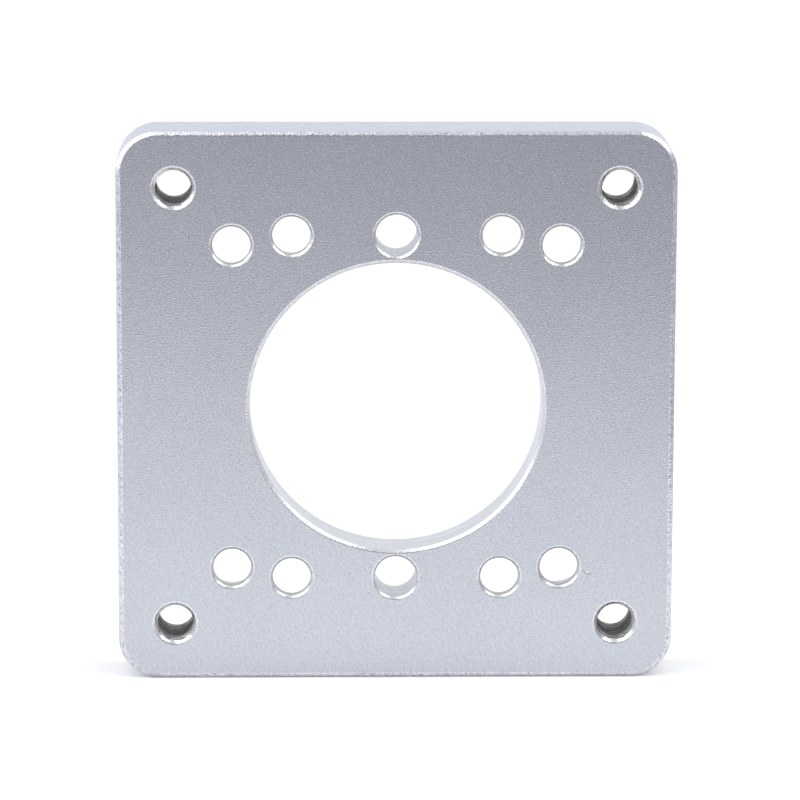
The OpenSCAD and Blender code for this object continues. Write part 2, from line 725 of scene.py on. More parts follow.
@dataclass
class Bore:
    """The through bore with the two holes above and below, whose bevels meet its own.

    Attributes:
        sizes: The plate's sizes.
        edges: The edges of all three holes.
        ridge_points: Points on each ridge where two bevels meet.
        arc_points: Columns on each side of the bore, between the ridges.
        hole_points: Columns round each of the two holes, outside its ridge.
        rows: Rows added inside a bevel and inside a wall.
    """

    sizes: PlateSizes
    edges: PlainHole = PlainHole()
    ridge_points: int = 17
    arc_points: int = 150
    hole_points: int = 84
    rows: tuple[int, int] = (4, 6)

    def __post_init__(self) -> None:
        """Works out both profiles and the upper ridge."""
        s = self.sizes
        floor, wall = s.pilot_floor, Surface.BORED
        self.bore = self.edges.profile(s.bore_r, s.bore_bevel, floor, wall, self.rows)
        self.hole = self.edges.profile(s.centre_r, s.hole_bevel, floor, wall, self.rows)
        self.crest = self._ridge()

    def _ridge(self) -> Array:
        """The line where the bore's bevel and the upper hole's bevel cross.

        For each x the two depths are equal at one z, which is found by halving the gap between the
        two bevels' outer circles.

        Returns:
            Points with shape (count, 3), from the right end to the left.
        """
        centre = self.sizes.row_half_h
        big, small = self.bore.reach[0], self.hole.reach[0]
        cross = (centre**2 + big**2 - small**2) / (2 * centre)
        half = math.sqrt(big**2 - cross**2)
        x = half * np.cos(np.linspace(0, math.pi, self.ridge_points))
        low = centre - np.sqrt(np.maximum(small**2 - x**2, 0))
        high = np.sqrt(np.maximum(big**2 - x**2, 0))
        for _ in range(HALVINGS):
            z = (low + high) / 2
            ahead = self.bore.depth_at(np.hypot(x, z)) > self.hole.depth_at(np.hypot(x, z - centre))
            low, high = np.where(ahead, z, low), np.where(ahead, high, z)
        z[[0, -1]] = cross
        deep = self.bore.depth_at(np.hypot(x, z))
        deep[[0, -1]] = 0
        return np.stack([x, deep, z], axis=-1)

    def build(self) -> tuple[list[Patch], list[Array], list[Array]]:
        """Makes the bore and both holes.

        Returns:
            The patches, the lines on the front face and the lines on the recess floor.
        """
        upper = self.crest
        lower = upper[::-1] * [1, 1, -1]
        start = math.atan2(upper[0, 2], upper[0, 0])
        right = np.linspace(-start, start, self.arc_points)
        left = right + math.pi
        above, below = (np.arctan2(line[1:-1, 2], line[1:-1, 0]) for line in (upper, lower))
        angles = np.concatenate([right, above, left, below])
        count, inner = len(right), self.ridge_points - 2
        columns = np.concatenate([np.arange(inner) + count, np.arange(inner) + 2 * count + inner])
        crests = np.vstack([upper[1:-1], lower[1:-1]])
        patches = [revolved(self.bore, angles, (0, 0), (columns, crests))]
        front = [ring(side, self.bore.reach[0], (0, 0), False) for side in (right, left)]
        back = [ring(angles, self.bore.reach[-1], (0, 0))]
        centre = self.sizes.row_half_h
        for sign in (1, -1):
            begin = math.atan2(upper[0, 2] - centre, upper[0, 0])
            arc = np.linspace(begin, math.pi - begin, self.hole_points)
            low = np.arctan2(upper[-2:0:-1, 2] - centre, upper[-2:0:-1, 0])
            around = np.concatenate([arc, low]) * sign
            crest = upper[-2:0:-1] * [1, 1, sign]
            columns = np.arange(len(arc), len(around))
            patches.append(revolved(self.hole, around, (0, sign * centre), (columns, crest)))
            front.append(ring(arc * sign, self.hole.reach[0], (0, sign * centre), False))
            back.append(ring(around, self.hole.reach[-1], (0, sign * centre)))
        return patches, front, back


@dataclass
class TappedHoles:
    """The four threaded holes: a countersunk mouth on both faces and a right-hand thread.

    Attributes:
        sizes: The plate's sizes.
        columns: Columns round each hole.
        rounding: Rounding between a countersink and its face.
        knots: Where crest, flanks and root meet, in pitches.
        rows: Where the rows of each turn lie, in pitches.
        slope_step: Step over which the thread's slope is measured, in pitches.
        chatter: Height of the tool chatter.
        waves: Number of waves in it.
        swings: Each wave swings fewer times than this round the hole.
        levelling: Share of the waves' sum that makes its spread about one.
        seed: Seed of the first hole's chatter.
    """

    sizes: PlateSizes
    columns: int = 64
    rounding: float = 0.42
    knots: tuple[float, ...] = (0.0, 0.385, 0.63, 0.755, 1.0)
    rows: tuple[float, ...] = (0.0, 0.13, 0.26, 0.385, 0.4675, 0.55, 0.63, 0.755, 0.84, 0.92)
    slope_step: float = 0.04
    chatter: float = 0.012
    waves: int = 14
    swings: int = 9
    levelling: float = 1 / 3
    seed: int = 5

    @property
    def mouth(self) -> float:
        """Radius at which the countersink's cone would meet the face without its rounding."""
        return self.sizes.thread_root_r + self.sizes.thread_mouth - rounding_length(self.rounding)

    def _thread(self, turns: Array) -> tuple[Array, Array]:
        """Radius and slope of the thread at a place along the axis, in pitches.

        A flat crest, a flank down to the root, a short root and a flank back.

        Args:
            turns: Places, of which only the part after the point counts.

        Returns:
            The radii and their slopes along the axis.
        """
        s = self.sizes
        radii = np.array([s.crest_r, s.crest_r, s.thread_root_r, s.thread_root_r, s.crest_r])
        part, step = turns % 1.0, self.slope_step
        ahead, behind = (np.interp((part + way) % 1.0, self.knots, radii) for way in (step, -step))
        return np.interp(part, self.knots, radii), (ahead - behind) / (2 * step * s.thread_pitch)

    def _wall(self, top: float, centre: Point, seed: int) -> Patch:
        """The threaded wall and the countersinks, about the hole's axis.

        Rows follow the helix: depth = row + pitch times the share of a turn, held between the two
        mouths. Radius = the largest of both countersinks and the thread. A thread's normal leans by
        its slope along the depth and by the helix's slope round the axis.

        Args:
            top: Depth at which the front mouth's rounding ends; the back one mirrors it.
            centre: The hole's axis, as (x, z).
            seed: Seed of the tool chatter.

        Returns:
            The patch.
        """
        s = self.sizes
        whole = np.arange(-1, math.ceil(s.thickness / s.thread_pitch) + 1)
        turns = (whole[:, None] + np.array(self.rows)).ravel()
        share = np.arange(self.columns + 1) / self.columns
        angle = -TURN * share[None]
        deep = np.clip((turns[:, None] + share[None]) * s.thread_pitch, top, s.thickness - top)
        radius, slope = self._thread(turns)
        noise = self._chatter(deep, angle, seed) * self.chatter
        radius = np.broadcast_to(radius[:, None], deep.shape) + noise
        slope = np.broadcast_to(slope[:, None], deep.shape)
        front, back = self.mouth - deep, self.mouth - (s.thickness - deep)  # the countersinks' radii
        cone = np.maximum(front, back)
        sunk = (cone >= radius) | (deep <= top) | (deep >= s.thickness - top)
        slope = np.where(sunk, np.where(front > back, -1.0, 1.0), slope)
        swing = np.where(sunk, 0.0, slope * s.thread_pitch / TURN / radius)
        radius = np.where(sunk, cone, radius)
        angle = np.broadcast_to(angle, deep.shape)
        points = np.stack([radius * np.cos(angle), deep, radius * np.sin(angle)], axis=-1)
        normals = np.stack(
            [
                -np.cos(angle) - swing * np.sin(angle),
                slope,
                -np.sin(angle) + swing * np.cos(angle),
            ],
            axis=-1,
        )
        normals /= np.linalg.norm(normals, axis=-1, keepdims=True)
        patch = grid_patch(points + [centre[0], 0, centre[1]], normals, Surface.THREADED)
        mouth_only = sunk.ravel()[patch.triangles].all(axis=1)
        surface = np.where(mouth_only, int(Surface.BEVELLED), patch.surface)
        return Patch(patch.points, patch.normals, patch.triangles, surface)

    def _chatter(self, deep: Array, angle: Array, seed: int) -> Array:
        """Tool chatter: a share of a sum of waves round and along the hole.

        Wave = sine of (a whole number times the angle, plus a number times the depth, plus a start).

        Args:
            deep: Depth of each point.
            angle: Angle of each column.
            seed: Seed of the waves.

        Returns:
            The height at each point.
        """
        draw, most = np.random.default_rng(seed), self.swings
        waves = [
            np.sin(draw.integers(1, most) * angle + draw.uniform(1, most) * deep + draw.uniform(0, TURN))
            for _ in range(self.waves)
        ]
        return np.sum(waves, axis=0) * self.levelling

    def build(self) -> tuple[list[Patch], list[Array], list[Array]]:
        """Makes the four holes.

        Returns:
            The patches, the lines on the front face and the lines on the back face.
        """
        s = self.sizes
        mouth = self.mouth
        corners = [(mouth + 1, 0), (mouth, 0), (mouth - 1, 1)]
        lip = rounded_profile(corners, [self.rounding], [Surface.BEVELLED], [], steps=6)
        angles = evenly(self.columns)
        patches, front, back = [], [], []
        for number, (sx, sz) in enumerate(QUADRANTS):
            centre = (sx * s.flange_half, sz * s.flange_half)
            rim = revolved(lip, angles, centre)
            mirrored = rim.points * [1, -1, 1] + [0, s.thickness, 0]
            patches += [rim, Patch(mirrored, rim.normals * [1, -1, 1], rim.triangles, rim.surface)]
            patches.append(self._wall(float(lip.depth[-1]), centre, self.seed + number))
            line = ring(angles, lip.reach[0], centre)
            front.append(line)
            back.append(line)
        return patches, front, back


@dataclass
class ScrewHoles:
    """The eight screw holes, from the front face to the counterbores' floors.

    Attributes:
        sizes: The plate's sizes.
        edges: The edges of the holes.
        columns: Columns round each hole.
        rows: Rows added inside a bevel and inside a wall.
    """

    sizes: PlateSizes
    edges: PlainHole = PlainHole()
    columns: int = 84
    rows: tuple[int, int] = (3, 2)

    def build(self) -> tuple[list[Patch], list[Array], list[list[Array]]]:
        """Makes the holes.

        Returns:
            The patches, the lines on the front face, and for each quarter the lines on the floor.
        """
        s = self.sizes
        profile = self.edges.profile(s.screw_r, s.hole_bevel, s.head_land, Surface.DRILLED, self.rows)
        angles = evenly(self.columns)
        patches, front, floors = [], [], []
        for sx, sz in QUADRANTS:
            halves = ((s.square_half, s.square_half), (s.row_half_w, s.row_half_h))
            centres = [(sx * half_x, sz * half_z) for half_x, half_z in halves]
            patches += [revolved(profile, angles, centre) for centre in centres]
            front += [ring(angles, profile.reach[0], centre) for centre in centres]
            floors.append([ring(angles, profile.reach[-1], centre) for centre in centres])
        return patches, front, floors


@dataclass
class BackPockets:
    """The pilot recess and the counterbores, which share walls.

    Everything is worked out for the quarter with x and z positive, where the counterbore on the
    diagonal cuts both the recess wall and its neighbour, and then mirrored.

    Attributes:
        sizes: The plate's sizes.
        floor_rounding: Rounding between the recess's floor and its wall.
        rounding: Rounding at both edges of the recess's bevel.
        arc_points: Columns on a counterbore's arc inside the recess; the other arcs have a half to
            three times as many.
        wall_points: Columns on the recess's wall between two quarters' counterbores.
        wall_rows: Rows down a counterbore's wall.
    """

    sizes: PlateSizes
    floor_rounding: float = 0.2
    rounding: float = 0.08
    arc_points: int = 28
    wall_points: int = 60
    wall_rows: int = 6

    def __post_init__(self) -> None:
        """Works out the recess's profile and the angles at which the walls meet."""
        s = self.sizes
        radius, bevel, floor, deep = s.pilot_r, s.pilot_bevel, s.pilot_floor, s.thickness
        mouth = radius + bevel
        self.profile = rounded_profile(
            [(0, floor), (radius, floor), (radius, deep - bevel), (mouth, deep), (mouth + 1, deep)],
            [self.floor_rounding, self.rounding, self.rounding],
            [Surface.TURNED, Surface.BEVELLED],
            [4, 2],
        )
        self.diagonal = np.array([s.square_half, s.square_half])
        self.beside = np.array([s.row_half_w, s.row_half_h])
        self.spread = float(np.linalg.norm(self.diagonal))

    def _limits(self) -> tuple[Array, Array]:
        """Half angles of the counterbore's arc outside each row of the recess's profile.

        By the cosine rule in the triangle of the recess's axis, the counterbore's axis and the
        point where they cross.

        Returns:
            The half angles about the counterbore's axis and about the recess's axis.
        """
        reach, head = self.profile.reach, self.sizes.head_r
        own = (reach**2 - self.spread**2 - head**2) / (2 * self.spread * head)
        about = (reach**2 + self.spread**2 - head**2) / (2 * self.spread * reach)
        return np.arccos(own), np.arccos(about)

    def _crossings(self) -> Array:
        """Finds where the two neighbouring counterbores cross.

        The crossings lie on the line that halves the way between the two axes, as far from it as
        the right-angled triangle with the counterbore's radius says.

        Returns:
            Two points as (x, z), the outer one first.
        """
        middle = (self.diagonal + self.beside) / 2
        way = self.beside - self.diagonal
        half = float(np.linalg.norm(way)) / 2
        side = np.array([-way[1], way[0]]) / (2 * half)
        height = math.sqrt(self.sizes.head_r**2 - half**2)
        ends = np.array([middle + side * height, middle - side * height])
        return ends[np.argsort(-ends.sum(axis=1))]

    def _arcs(self) -> tuple[list[Array], Array]:
        """Angles of the counterbores' arcs between the points where they meet anything.

        Returns:
            The three arcs about the diagonal counterbore's axis, from the inner crossing over the
            arc that cuts the recess wall to the outer crossing, and the arc about its neighbour's.
        """
        outer, inner = self._crossings()
        limit = float(self._limits()[0][0])
        begin = math.atan2(*(inner - self.diagonal)[::-1])
        end = math.atan2(*(outer - self.diagonal)[::-1])
        start, stop = TURN / 8 - limit, TURN / 8 + limit
        arcs = [
            np.linspace(begin, start, self.arc_points),
            TURN / 8 + limit * np.linspace(-1, 1, self.arc_points * 2),
            np.linspace(stop, end, self.arc_points // 2),
        ]
        near = math.atan2(*(outer - self.beside)[::-1])
        far = math.atan2(*(inner - self.beside)[::-1]) + TURN
        return arcs, np.linspace(near, far, self.arc_points * 3)

    def _quarter_wall(self) -> tuple[list[Patch], list[Array], list[Array], list[Array]]:
        """The walls of one quarter's counterbores.

        Returns:
            The patches, and the lines on the counterbores' floor, the recess floor and the back.
        """
        s = self.sizes
        arcs, neighbour = self._arcs()
        lower = straight_wall(
            s.head_r, np.linspace(s.head_land, s.pilot_floor, self.wall_rows), Surface.BORED
        )
        patches, floor, recess = [], [], []
        for angles, centre in [(arc, self.diagonal) for arc in arcs] + [(neighbour, self.beside)]:
            patches.append(revolved(lower, angles, tuple(centre), closed=False))
            line = ring(angles, s.head_r, tuple(centre), False)
            floor.append(line)
            recess.append(line)
        recess.pop(1)  # there the wall goes on up to the back face
        share = np.linspace(-1, 1, self.arc_points * 2)
        angle = TURN / 8 + self._limits()[0][:, None] * share[None]
        upper = straight_wall(s.head_r, self.profile.depth, Surface.BORED)
        points, normals = swept(upper, angle, tuple(self.diagonal))
        patches.append(grid_patch(points, normals, upper.surface))
        return patches, floor, recess, [points[-1][:, [0, 2]]]

    def _recess_wall(self, quarter: int) -> Patch:
        """The recess's wall between one quarter's counterbore and the next.

        Args:
            quarter: Number of the quarter that it starts from.

        Returns:
            The patch.
        """
        gap = self._limits()[1][:, None]
        share = np.linspace(0, 1, self.wall_points)[None]
        angle = TURN / 8 + quarter * TURN / 4 + gap + (TURN / 4 - 2 * gap) * share
        points, normals = swept(self.profile, angle, (0, 0))
        return grid_patch(points, normals, self.profile.surface)

    def build(self) -> tuple[list[Patch], list[list[Array]], list[Array], list[Array]]:
        """Makes the walls of the recess and of all counterbores.

        Returns:
            The patches, each quarter's lines on the counterbores' floor, and the lines on the
            recess floor and on the back face.
        """
        patches, floors, recess, back = [], [], [], []
        for sx, sz in QUADRANTS:
            walls, floor, on_recess, on_back = self._quarter_wall()
            flip, flat = np.array([sx, 1, sz]), np.array([sx, sz])
            patches += [Patch(w.points * flip, w.normals * flip, w.triangles, w.surface) for w in walls]
            floors.append([line * flat for line in floor])
            recess += [line * flat for line in on_recess]
            back += [line * flat for line in on_back]
        for quarter in range(len(QUADRANTS)):
            wall = self._recess_wall(quarter)
            grid = wall.points.reshape(len(self.profile.reach), -1, 3)
            patches.append(wall)
            recess.append(grid[0][:, [0, 2]])
            back.append(grid[-1][:, [0, 2]])
        return patches, floors, recess, back


@dataclass
class AdapterPlate:
    """The whole plate: its outside, bore, holes, pockets and the flat faces between them.

    Attributes:
        sizes: The plate's sizes.
        face_spacing: Distance between loose points of the large flat faces.
        pocket_spacing: Distance between loose points of the counterbores' floors.
    """

    sizes: PlateSizes
    face_spacing: float = 2.6
    pocket_spacing: float = 1.2

    def surface(self) -> tuple[Patch, Array]:
        """Makes every patch and welds them.

        Returns:
            The welded surface and its corner normals.
        """
        s = self.sizes
        outside, front_rim, back_rim = Outline(s).build()
        bore, bore_front, bore_back = Bore(s).build()
        tapped, tapped_front, tapped_back = TappedHoles(s).build()
        screws, screw_front, screw_floor = ScrewHoles(s).build()
        pockets, pocket_floor, recess_lines, back_lines = BackPockets(s).build()
        front = [front_rim, *bore_front, *tapped_front, *screw_front]
        back = [back_rim, *tapped_back, *back_lines]
        recess = [*recess_lines, *bore_back]
        flats = [
            flat_patch(front, 0.0, Facing.FRONT, Surface.BLASTED, self.face_spacing),
            flat_patch(back, s.thickness, Facing.BACK, Surface.BLASTED, self.face_spacing),
            flat_patch(recess, s.pilot_floor, Facing.BACK, Surface.TURNED, self.face_spacing),
        ]
        for walls, holes in zip(pocket_floor, screw_floor):
            lines = [*walls, *holes]
            flats.append(flat_patch(lines, s.head_land, Facing.BACK, Surface.BORED, self.pocket_spacing))
        return joined([outside, *bore, *tapped, *screws, *pockets, *flats])

    def build(self, materials: Sequence[bpy.types.Material]) -> bpy.types.Object:
        """Puts the surface into a Blender object with its materials.

        Args:
            materials: One material for each finish, in the order of Surface.

        Returns:
            The plate's object, at the origin.
        """
        made, corners = self.surface()
        mesh = bpy.data.meshes.new(PIECE)
        mesh.from_pydata((made.points * METRE).tolist(), [], made.triangles.tolist())
        for material in materials:
            mesh.materials.append(material)
        mesh.polygons.foreach_set("material_index", made.surface.astype(np.int32))
        mesh.polygons.foreach_set("use_smooth", np.ones(len(made.triangles), dtype=bool))
        mesh.update()
        mesh.normals_split_custom_set(corners.reshape(-1, 3).tolist())
        plate = bpy.data.objects.new(PIECE, mesh)
        bpy.context.scene.collection.objects.link(plate)
        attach(plate, "root")
        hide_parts(NODE)
        LOG.info("%s: %d triangles", PIECE, len(made.triangles))
        return plate


# Node groups and materials

Colour = tuple[float, float, float, float]
Band = tuple[float, float]
Socket = bpy.types.NodeSocket
Sockets = bpy.types.bpy_prop_collection

NOISE_BAND: Band = (0.3, 0.7)  # values of a noise that become 0 and 1
CLOUD_SHARE = 0.25  # share of the clouds in a finish's tone, beside its specks
CHIP_BAND: Band = (0.59, 0.64)  # values of the noise between which a chip begins
CHIP_THINNING = 0.18  # how fast chips get rarer inwards, for each bevel's width
CHIP_COLOUR: Colour = (0.10, 0.10, 0.12, 1.0)
DENT_RIM_BAND: Band = (0.6, 1.0)  # shares of a dent's reach over which its rim ends
DENT_CORE_BAND: Band = (0.2, 0.6)
# A dent's colours: painted shade on its rim and a painted highlight in its middle.
DENT_RIM_PAINTED_SHADE: Colour = (0.44, 0.44, 0.47, 1.0)
DENT_CORE_PAINTED_GLINT: Colour = (0.90, 0.90, 0.93, 1.0)
# Painted light: a tapped hole's mouths are painted pale, fading out over these depths.
PAINTED_MOUTH_LIGHT_DEPTHS: Band = (0.0008, 0.0044)  # metres over which a tapped hole's pale mouth ends


class NodeGraph:
    """A node tree with short calls to add and join nodes."""

    def __init__(self, tree: bpy.types.NodeTree) -> None:
        """Starts from an empty tree."""
        self.tree = tree
        tree.nodes.clear()

    def add(self, kind: str, settings: dict | None = None, **inputs: object) -> bpy.types.Node:
        """Adds a node.

        Args:
            kind: The node's type.
            settings: Properties to set on it.
            **inputs: Values or sockets for its inputs, with _ for a space in a name, or in0, in1
                and so on for an input by its number.

        Returns:
            The node.
        """
        node = self.tree.nodes.new(kind)
        for name, value in (settings or {}).items():
            setattr(node, name, value)
        for name, value in inputs.items():
            key = int(name[2:]) if name.startswith("in") and name[2:].isdigit() else name.replace("_", " ")
            socket = node.inputs[key]
            if isinstance(value, bpy.types.NodeSocket):
                self.tree.links.new(value, socket)
            else:
                socket.default_value = value
        return node

    def math(self, operation: str, *values: object) -> Socket:
        """Adds a Math node and returns its result."""
        inputs = {f"in{i}": value for i, value in enumerate(values)}
        return self.add("ShaderNodeMath", {"operation": operation}, **inputs).outputs[0]

    def times(self, first: object, second: object) -> Socket:
        """Multiplies two values."""
        return self.math("MULTIPLY", first, second)

    def blend(self, first: Socket, second: Socket, share: float) -> Socket:
        """Mixes two values: first (1 - share) + second share."""
        return self.math("ADD", self.times(first, 1 - share), self.times(second, share))

    def rising(self, value: Socket, low: float, high: float) -> Socket:
        """Turns low to high into 0 to 1, held at both ends, with soft ends.

        Args:
            value: The value.
            low: What becomes 0.
            high: What becomes 1. It may be the smaller one.

        Returns:
            The result.
        """
        settings = {"interpolation_type": "SMOOTHSTEP"}
        node = self.add("ShaderNodeMapRange", settings, Value=value, From_Min=low, From_Max=high)
        return node.outputs["Result"]

    def falling(self, value: Socket, low: float, high: float) -> Socket:
        """Turns low to high into 1 to 0."""
        return self.math("SUBTRACT", 1.0, self.rising(value, low, high))

    def split(self, vector: Socket) -> Sockets:
        """Parts a vector into its X, Y and Z."""
        return self.add("ShaderNodeSeparateXYZ", Vector=vector).outputs

    def join(self, x: object, y: object, z: object) -> Socket:
        """Makes a vector."""
        return self.add("ShaderNodeCombineXYZ", X=x, Y=y, Z=z).outputs[0]

    def length(self, vector: Socket) -> Socket:
        """Adds a vector's length."""
        return self.add("ShaderNodeVectorMath", {"operation": "LENGTH"}, in0=vector).outputs["Value"]

    def direction(self, vector: Socket) -> Sockets:
        """Gives the X, Y and Z of a vector brought to a length of one."""
        unit = self.add("ShaderNodeVectorMath", {"operation": "NORMALIZE"}, in0=vector).outputs[0]
        return self.split(unit)

    def noise(self, vector: Socket, scale: object, **inputs: float) -> Socket:
        """Adds a noise texture and returns its value."""
        return self.add("ShaderNodeTexNoise", Vector=vector, Scale=scale, **inputs).outputs[0]

    def mix(self, factor: object, first: object, second: object) -> Socket:
        """Mixes two colours."""
        node = self.add("ShaderNodeMix", {"data_type": "RGBA"}, in0=factor, in6=first, in7=second)
        return node.outputs[2]

    def place(self) -> Socket:
        """Gives the Object coordinates."""
        return self.add("ShaderNodeTexCoord").outputs["Object"]

    def seen(self) -> Socket:
        """Tells what the camera sees, also in metal and through glass, from what only lights.

        Returns:
            A value that is 1 for camera, glossy and transmission rays.
        """
        path = self.add("ShaderNodeLightPath").outputs
        either = self.math("MAXIMUM", path["Is Camera Ray"], path["Is Glossy Ray"])
        return self.math("MAXIMUM", either, path["Is Transmission Ray"])

    def group(self, tree: bpy.types.NodeTree, **inputs: object) -> Sockets:
        """Adds a node group and returns its outputs."""
        return self.add("ShaderNodeGroup", {"node_tree": tree}, **inputs).outputs

    def give(self, **values: Socket) -> bpy.types.NodeTree:
        """Joins values to the outputs of a group and returns the group."""
        self.add("NodeGroupOutput", **values)
        return self.tree


def new_group(name: str, inputs: dict[str, float], outputs: Sequence[str]) -> tuple[NodeGraph, Sockets]:
    """Starts a shader node group.

    Args:
        name: The group's name.
        inputs: Names and default values of its inputs, besides Vector.
        outputs: Names of its outputs.

    Returns:
        The group's graph, whose tree is the group, and its inputs.
    """
    tree = bpy.data.node_groups.new(name, "ShaderNodeTree")
    tree.interface.new_socket(name="Vector", in_out="INPUT", socket_type="NodeSocketVector")
    for label, value in inputs.items():
        socket = tree.interface.new_socket(name=label, in_out="INPUT", socket_type="NodeSocketFloat")
        socket.default_value = value
    for label in outputs:
        tree.interface.new_socket(name=label, in_out="OUTPUT", socket_type="NodeSocketFloat")
    graph = NodeGraph(tree)
    return graph, graph.add("NodeGroupInput").outputs


def new_material(name: str) -> tuple[bpy.types.Material, NodeGraph]:
    """Makes an empty material.

    Args:
        name: Its name.

    Returns:
        The material and its graph.
    """
    material = bpy.data.materials.new(name)
    material.use_nodes = True
    return material, NodeGraph(material.node_tree)


def blasted_grain_group() -> bpy.types.NodeTree:
    """Grain of a blasted surface: fine pits, sparse bright and dark specks, and broad clouds.

    The specks are a noise at Speck Share of the pits' frequency.

    Returns:
        The group, with outputs Height, Speckle and Cloud, each about 0 to 1.
    """
    inputs = {"Grain": 5200.0, "Speck Share": 0.55, "Cloud Scale": 60.0}
    graph, entry = new_group("blasted_grain", inputs, ["Height", "Speckle", "Cloud"])
    coarser = graph.times(entry["Grain"], entry["Speck Share"])
    return graph.give(
        Height=graph.noise(entry["Vector"], entry["Grain"], Detail=1.0, Roughness=0.5),
        Speckle=graph.noise(entry["Vector"], coarser, Detail=2.0, Roughness=0.6),
        Cloud=graph.noise(entry["Vector"], entry["Cloud Scale"], Detail=3.0),
    )


def edge_chip_group(sizes: PlateSizes) -> bpy.types.NodeTree:
    """Small dark chips where the blasted face meets the outline's bevel, rarer further inside.

    The distance in from the outline is corner radius - length(max(q, 0)) - min(max(q), 0), where q
    is the place's size along X and Z less half the plate, plus the corner radius. The noise is read
    at that distance and at the direction from the middle, so that the chips lie along the edge.

    Args:
        sizes: The plate's sizes.

    Returns:
        The group, with the output Chips, 0 to 1. Its lengths are in metres.
    """
    inputs = {
        "Half Width": sizes.half_w * METRE,
        "Half Height": sizes.half_h * METRE,
        "Corner": sizes.corner_r * METRE,
        "Bevel": sizes.edge_bevel * METRE,
        "Across": 4600.0,
        "Along": 2000.0,
    }
    graph, entry = new_group("edge_chips", inputs, ["Chips"])
    x, _, z = graph.split(entry["Vector"])
    over = [
        graph.math("ADD", graph.math("SUBTRACT", graph.math("ABSOLUTE", part), half), entry["Corner"])
        for part, half in ((x, entry["Half Width"]), (z, entry["Half Height"]))
    ]
    beyond = [graph.math("MAXIMUM", side, 0.0) for side in over]
    length = graph.math("SQRT", graph.math("ADD", *(graph.times(side, side) for side in beyond)))
    within = graph.math("MINIMUM", graph.math("MAXIMUM", *over), 0.0)
    inset = graph.math("SUBTRACT", entry["Corner"], graph.math("ADD", length, within))
    depth = graph.math("DIVIDE", graph.math("SUBTRACT", inset, entry["Bevel"]), entry["Bevel"])
    way_x, _, way_z = graph.direction(graph.join(x, 0.0, z))
    along = graph.times(entry["Half Width"], entry["Along"])
    around = graph.join(
        graph.times(way_x, along), graph.times(inset, entry["Across"]), graph.times(way_z, along)
    )
    noise = graph.noise(around, 1.0, Detail=2.0)
    rarer = graph.times(graph.math("ABSOLUTE", depth), CHIP_THINNING)
    return graph.give(Chips=graph.rising(graph.math("SUBTRACT", noise, rarer), *CHIP_BAND))


@dataclass(frozen=True)
class Dent:
    """A small dent or scratch in the front face, an ellipse in millimetres, with painted shade on its
    rim and a painted highlight in its middle.

    Attributes:
        x: Its middle's X.
        z: Its middle's Z.
        half_length: Half its longer size.
        half_width: Half its shorter size.
        angle: The way of its longer size, from +X towards +Z, in radians.
        shine: How bright the painted highlight in its middle is.
    """

    x: float
    z: float
    half_length: float
    half_width: float
    angle: float = 0.0
    shine: float = 0.0


# Both strokes of the scratch beside the lower right screw hole, the corner's dent and three pits
DENTS = (
    Dent(27.68, -24.30, 0.82, 0.27, -0.47, 1.0),
    Dent(27.74, -24.96, 0.20, 0.12),
    Dent(-34.87, -39.44, 0.95, 0.38, 0.0, 0.5),
    Dent(3.66, -25.02, 0.17, 0.14),
    Dent(7.94, 21.95, 0.20, 0.17),
    Dent(-38.33, 17.38, 0.22, 0.16, 0.5),
)


def dent_group() -> bpy.types.NodeTree:
    """The dents in the front face.

    A dent's reach = sqrt(u squared + v squared), where u and v are the place along its length and
    its width in halves of them. Rim falls from 1 to 0 outwards; it shapes the dent's bump and masks
    its painted shade. Core does so from the dent's shine, further in, and masks a painted highlight.
    Both are 0 where the depth passes the input Reach, in metres.

    Returns:
        The group, with the outputs Rim and Core, 0 to 1.
    """
    graph, entry = new_group("dents", {"Reach": 0.0015}, ["Rim", "Core"])
    x, y, z = graph.split(entry["Vector"])
    front = graph.math("LESS_THAN", y, entry["Reach"])
    rims, cores = [], []
    for dent in DENTS:
        squares = []
        for half, way in ((dent.half_length, dent.angle), (dent.half_width, dent.angle + TURN / 4)):
            share_x, share_z = math.cos(way) / half / METRE, math.sin(way) / half / METRE
            middle = -METRE * (dent.x * share_x + dent.z * share_z)
            along = graph.math("MULTIPLY_ADD", z, share_z, graph.math("MULTIPLY_ADD", x, share_x, middle))
            squares.append(graph.times(along, along))
        reach = graph.math("SQRT", graph.math("ADD", *squares))
        rims.append(graph.falling(reach, *DENT_RIM_BAND))
        if dent.shine:
            cores.append(graph.times(graph.falling(reach, *DENT_CORE_BAND), dent.shine))
    rim, core = (reduce(partial(graph.math, "MAXIMUM"), masks) for masks in (rims, cores))
    return graph.give(Rim=graph.times(rim, front), Core=graph.times(core, front))


def tool_mark_group() -> bpy.types.NodeTree:
    """Turning marks: fine lines across the depth or across the radius, broken up along them.

    The noise is read at (x Along, y Across, z Along), whose cells are long rings round a hole. With
    Radial at 1 it is read at (radius Across, y Across + wx, wz), where w is the direction from the
    middle times the arc's length in cells, so that the rings lie on a turned face as well.

    Returns:
        The group, with outputs Height and Tone, each about 0 to 1.
    """
    inputs = {"Across": 9000.0, "Along": 260.0, "Radial": 0.0, "Arc Cells": 5.0, "Tone Scale": 0.35}
    graph, entry = new_group("tool_marks", inputs, ["Height", "Tone"])
    across, along, cells = entry["Across"], entry["Along"], entry["Arc Cells"]
    x, y, z = graph.split(entry["Vector"])
    apart = graph.join(x, 0.0, z)
    way_x, _, way_z = graph.direction(apart)
    deep = graph.times(y, across)
    ringed = graph.join(graph.times(x, along), deep, graph.times(z, along))
    turned = graph.join(
        graph.times(graph.length(apart), across),
        graph.math("ADD", deep, graph.times(way_x, cells)),
        graph.times(way_z, cells),
    )
    settings = {"data_type": "VECTOR"}
    spot = graph.add("ShaderNodeMix", settings, in0=entry["Radial"], in4=ringed, in5=turned).outputs[1]
    tone = graph.noise(spot, entry["Tone Scale"], Detail=2.0)
    return graph.give(Height=graph.noise(spot, 1.0, Detail=2.0), Tone=tone)


